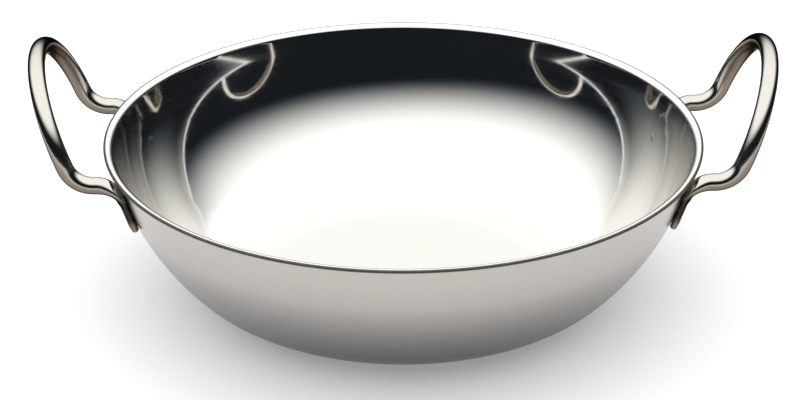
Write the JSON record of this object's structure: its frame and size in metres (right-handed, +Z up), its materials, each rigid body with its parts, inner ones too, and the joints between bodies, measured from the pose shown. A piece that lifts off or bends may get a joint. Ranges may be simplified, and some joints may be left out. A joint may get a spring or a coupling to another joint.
{
  "type": "kadai",
  "caption": "Shallow round steel cooking and serving bowl with a narrow turned out lip, a flat base and two upright bent wire loop handles spot welded under the lip",
  "frame": {"origin": "centre of the flat underside of the base", "axes": "+Z up through the open mouth, +X through the right handle, -X through the left handle, Y along the width of the handles"},
  "size_m": [0.2588, 0.21, 0.0921],
  "materials": {
    "bowl_sheet": "stainless sheet, mirror polished inside and satin polished outside",
    "handle_wire": "stainless wire, bright polished",
    "weld_metal": "dull grey spot weld nugget between leg and wall"
  },
  "bodies": {
    "root": {"bowl": "bowl_sheet", "left_handle": "handle_wire", "right_handle": "handle_wire", "spot_welds": "weld_metal"}
  },
  "joints": []
}
